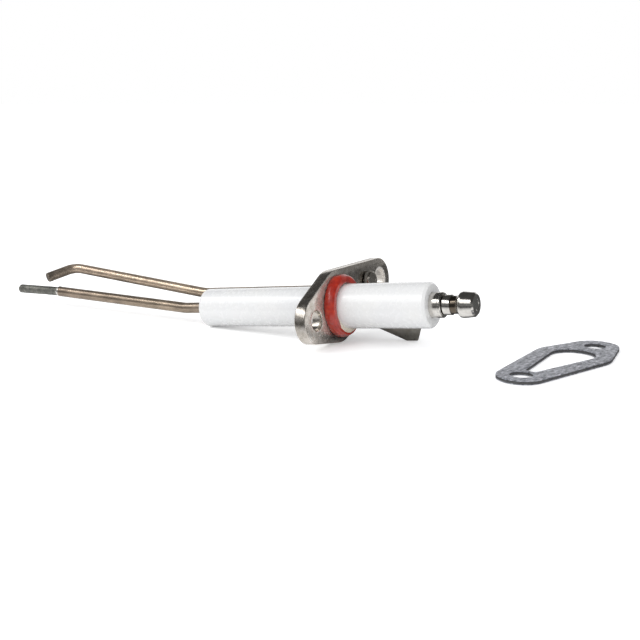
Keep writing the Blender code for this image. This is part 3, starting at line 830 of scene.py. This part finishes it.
def make_collar():
    """A sleeve with a shallow groove round it, just short of a rounded end."""
    low, high = extent("terminal_collar")
    wide = high.z
    groove = wide - 0.06 * MM
    inner = extent("terminal_stud")[1].z
    corners = [
        (low.x, inner, 0),
        (low.x, wide, 0.2 * MM),
        (high.x - 0.75 * MM, wide, 0),
        (high.x - 0.7 * MM, groove, 0),
        (high.x - 0.45 * MM, groove, 0),
        (high.x - 0.4 * MM, wide + 0.02 * MM, 0.05 * MM),
        (high.x - 0.12 * MM, wide, 0.1 * MM),
        (high.x + 0.1 * MM, wide - 0.3 * MM, 0.1 * MM),
        (high.x + 0.1 * MM, inner, 0),
    ]
    mesh = turned("collar_sleeve", corners, ring=True)
    electrode_piece("collar_sleeve", mesh, "bright_nickel", "terminal_collar")


def make_nut():
    """The terminal's turned nut: neck, waist, flare and a dished head, on a blind bore."""
    low, high = extent("terminal_nut")
    inner = extent("terminal_stud")[1].z
    bored = high.x - 1.0 * MM
    neck = 2.62 * MM
    waist = 2.32 * MM
    head = high.z
    dish = high.x - DISH_DEPTH
    corners = [
        (bored, 0, 0),
        (bored, inner, 0),
        (low.x, inner, 0),
        (low.x, neck, 0.08 * MM),
        (low.x + 2.0 * MM, neck, 0.12 * MM),
        (low.x + 2.15 * MM, waist, 0.1 * MM),
        (low.x + 3.65 * MM, waist, 0.5 * MM),
        (low.x + 4.6 * MM, head - 0.1 * MM, 0.3 * MM),
        (low.x + 5.2 * MM, head, 0.4 * MM),
        (high.x - 0.5 * MM, 3.12 * MM, 0.2 * MM),
        (high.x, 2.62 * MM, 0.12 * MM),
        (high.x, 1.5 * MM, 0.1 * MM),
        (dish, 1.3 * MM, 0.1 * MM),
        (dish, 0, 0),
    ]
    mesh = turned("contact_nut", corners)
    electrode_piece("contact_nut", mesh, "bright_nickel", "terminal_nut")


def make_rivet():
    """A rivet with a dished flat head on the tab's foot, and its front end flush with the flange."""
    seat = TAB_THICKNESS + 0.3 * MM
    top = extent("tab_rivet")[1].x
    dish = top - DISH_DEPTH
    corners = [
        (-FLANGE_THICKNESS, 0, 0),
        (-FLANGE_THICKNESS, RIVET_RADIUS + 0.4 * MM, 0.1 * MM),
        (-FLANGE_THICKNESS + 0.4 * MM, RIVET_RADIUS, 0),
        (seat, RIVET_RADIUS, 0),
        (seat, RIVET_HEAD, 0),
        (top - 0.1 * MM, RIVET_HEAD, 0.08 * MM),
        (top, RIVET_HEAD - 0.15 * MM, 0.08 * MM),
        (top, 1.6 * MM, 0.1 * MM),
        (dish, 1.4 * MM, 0.1 * MM),
        (dish, 0, 0),
    ]
    mesh = turned("rivet_body", corners)
    mesh.transform(Matrix.Translation((0, RIVET_Y, RIVET_Z)))
    electrode_piece("rivet_body", mesh, "plated_steel", "tab_rivet")


def make_tab():
    """The earth tab as sheet metal: a flat blank, bent by a right angle between foot and blade."""
    low = extent("earth_tab")[0].x
    neutral = TAB_BEND + TAB_THICKNESS / 2
    bend = neutral * math.pi / 2
    centre = Vector((low + TAB_THICKNESS + TAB_BEND, TAB_Y + TAB_THICKNESS / 2 + TAB_BEND, 0))

    def blade(along, over):
        """A place on the blank, from how far it is along the blade and over its width."""
        x = low + along * math.cos(TAB_SLOPE) + over * math.sin(TAB_SLOPE)
        z = TAB_ROOT_Z - along * math.sin(TAB_SLOPE) + over * math.cos(TAB_SLOPE)
        return (bend + x - centre.x, z)

    top = TAB_ROOT_Z + TAB_WIDTH / math.cos(TAB_SLOPE)
    rivet = (centre.y - RIVET_Y, RIVET_Z)
    point = 0.01 * MM
    foot = wrapped([(0, TAB_ROOT_Z, point), (0, top, point), (*rivet, RIVET_HEAD + FOOT_RIM)], 20)
    foot = [place for place in foot if place[0] < 0]
    tip = [
        (bend, TAB_ROOT_Z),
        blade(TAB_LENGTH - TAB_CHAMFER_LENGTH, 0),
        blade(TAB_LENGTH, TAB_CHAMFER),
        blade(TAB_LENGTH, TAB_WIDTH - TAB_CHAMFER),
        blade(TAB_LENGTH - TAB_CHAMFER_LENGTH, TAB_WIDTH),
        (bend, top),
    ]
    # The foot's outline goes on from the blade's top edge
    start = max(range(len(foot)), key=lambda i: foot[i][1] if foot[i][0] > -0.1 * MM else -1)
    outline = tip + foot[start:] + foot[:start]
    holes = [
        slot_hole(rivet, 0, RIVET_RADIUS + SNUG, 20),
        slot_hole(blade(TAB_LENGTH - TAB_HOLE_INSET, TAB_WIDTH / 2), 0, TAB_HOLE_RADIUS, 16),
    ]
    flat = plate("tab_blade", outline, holes, 0, TAB_THICKNESS, TAB_EDGE)
    bm = bmesh.new()
    bm.from_mesh(flat)
    cuts = 8
    for i in range(cuts + 1):
        parts = bm.verts[:] + bm.edges[:] + bm.faces[:]
        bmesh.ops.bisect_plane(bm, geom=parts, plane_co=(bend * i / cuts, 0, 0), plane_no=(1, 0, 0))
    for vertex in bm.verts:
        s, z, depth = vertex.co
        radius = TAB_BEND + TAB_THICKNESS - depth
        turn = min(max(s / neutral, 0), math.pi / 2)
        x = centre.x - radius * math.cos(turn) + max(s - bend, 0)
        y = centre.y - radius * math.sin(turn) - min(s, 0)
        vertex.co = (x, y, z)
    mesh = mesh_from(bm, "tab_blade", crease=35)
    electrode_piece("tab_blade", mesh, "tinned_brass", "earth_tab")


# ---------------------------------------------------------------- the gasket

def make_gasket():
    """Three layers of one outline, with a pear-shaped cut-out and two screw holes."""
    opening = wrapped([(0, 0, OPENING_RADIUS), (OPENING_END_Y, 0, OPENING_END_RADIUS)], 40)
    holes = [
        opening,
        slot_hole((NEAR_HOLE_Y, 0), 0, GASKET_HOLE_RADIUS),
        slot_hole((FAR_HOLE_Y, 0), 0, GASKET_HOLE_RADIUS),
    ]
    layers = [
        ("lower_sheet", "gasket_lower_facing", "facing_foil"),
        ("fibre_layer", "gasket_core", "graphite_fibre"),
        ("upper_sheet", "gasket_upper_facing", "facing_foil"),
    ]
    for name, node, slot in layers:
        low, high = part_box(node)
        mesh = plate(name, lobed(), holes, low.z, high.z, GASKET_EDGE)
        piece(name, mesh, LOOKS[slot], GASKET, "gasket", slot, node)


def make_hidden():
    """The CAD pieces inside the others stay as they are, and only get their materials."""
    for node, slot in (
        ("flange_cement", "ceramic_cement"),
        ("rear_cement", "ceramic_cement"),
        ("terminal_stud", "bright_nickel"),
    ):
        materials = frame["nodes"][node].data.materials
        materials.clear()
        materials.append(LOOKS[slot])


# ---------------------------------------------------------------- stage

def make_stage():
    """A wide pale floor, whose reflection darkens away from the electrode as a small table's would."""
    bm = bmesh.new()
    bmesh.ops.create_grid(bm, x_segments=1, y_segments=1, size=FLOOR_SIZE)
    mesh = bpy.data.meshes.new("floor")
    bm.to_mesh(mesh)
    bm.free()
    floor = bpy.data.objects.new("floor", mesh)
    floor.location = (ELECTRODE.translation.x, ELECTRODE.translation.y, cad_box[0].z)
    bpy.context.scene.collection.objects.link(floor)
    material = bpy.data.materials.new("pale floor")
    material.use_nodes = True
    look = Nodes(material.node_tree)
    rays = look.node("ShaderNodeLightPath").outputs
    where = look.node("ShaderNodeTexCoord").outputs["Object"]
    y = look.node("ShaderNodeSeparateXYZ", Vector=where).outputs["Y"]
    across = look.span(y, -FLOOR_BAND, FLOOR_BAND)
    table = look.ramp(across, [(0.05, 0.1), (0.36, 1.0), (0.50, 1.0), (0.58, 0.1)])
    shader = material.node_tree.nodes["Principled BSDF"]
    shader.inputs["Roughness"].default_value = 0.9
    shader.inputs["Specular IOR Level"].default_value = 0.0
    shader.inputs["Emission Color"].default_value = (*FLOOR_GLOW, 1)
    look.feed(shader.inputs["Emission Strength"], rays["Is Camera Ray"])
    look.feed(shader.inputs["Base Color"], look.mix(rays["Is Glossy Ray"], FLOOR_WHITE, table))
    mesh.materials.append(material)


def area_light(name, offset, size, strength, mirrored=True):
    """A soft box at an offset from the electrode, facing it. Strength is its brightness seen directly."""
    lamp = bpy.data.lights.new(name, "AREA")
    lamp.shape = "RECTANGLE"
    lamp.size, lamp.size_y = size
    lamp.energy = strength * math.pi * size[0] * size[1]
    made = bpy.data.objects.new(name, lamp)
    made.location = ELECTRODE.translation + offset
    made.rotation_euler = offset.to_track_quat("Z", "Y").to_euler()
    made.visible_glossy = mirrored
    bpy.context.scene.collection.objects.link(made)


def make_lights():
    """A large key box with a bright strip in it, high on the left, and a fill box on the right."""
    area_light("key box", offset=Vector((-0.36, -0.50, 0.46)), size=(1.1, 0.42), strength=1.3)
    area_light("key strip", offset=Vector((-0.32, -0.40, 0.44)), size=(0.9, 0.03), strength=9.0)
    fill = Vector((0.60, -0.20, 0.20))
    area_light("fill box", offset=fill, size=(0.5, 0.5), strength=1.1, mirrored=False)


def make_world():
    """A white surround for the camera, and soft light on matt surfaces.

    Reflections see a darker room, with a low sheet of lit paper in it beyond the electrode.
    """
    world = bpy.data.worlds.new("studio")
    bpy.context.scene.world = world
    world.use_nodes = True
    look = Nodes(world.node_tree)
    rays = look.node("ShaderNodeLightPath").outputs
    where = look.node("ShaderNodeTexCoord").outputs["Generated"]
    up = look.node("ShaderNodeSeparateXYZ", Vector=where).outputs["Z"]
    away = look.vector("DOT_PRODUCT", where, (-math.sin(CAMERA_TURN), math.cos(CAMERA_TURN), 0))
    room = look.ramp(up, [(0.0, 0.24), (0.5, 0.06)])
    beyond = look.ramp(away, [(0.6, 0.0), (0.8, 1.0)])
    low = look.ramp(up, [(0.35, 0.8), (0.5, 0.0)])
    paper = look.mix(1.0, beyond, low, "MULTIPLY")
    surround = look.mix(1.0, room, paper, "ADD")
    soft = look.mix(rays["Is Diffuse Ray"], surround, SOFT_LIGHT)
    seen = look.mix(rays["Is Camera Ray"], soft, WHITE)
    look.feed(world.node_tree.nodes["Background"].inputs["Color"], seen)


def make_camera():
    lens = bpy.data.cameras.new("camera")
    lens.lens = LENS_MM
    lens.sensor_width = 36
    lens.clip_start = 0.01
    camera = bpy.data.objects.new("camera", lens)
    camera.location = ELECTRODE.translation + CAMERA_OFFSET
    camera.rotation_euler = (math.pi / 2 + CAMERA_PITCH, 0, CAMERA_TURN)
    bpy.context.scene.collection.objects.link(camera)
    bpy.context.scene.camera = camera
    bpy.context.scene.view_settings.view_transform = "Standard"


make_ceramic()
make_cement()
make_sealing_ring()
make_flange()
make_ignition_rod()
make_earth_rod()
make_collar()
make_nut()
make_rivet()
make_tab()
make_gasket()
make_hidden()
make_stage()
make_lights()
make_world()
make_camera()
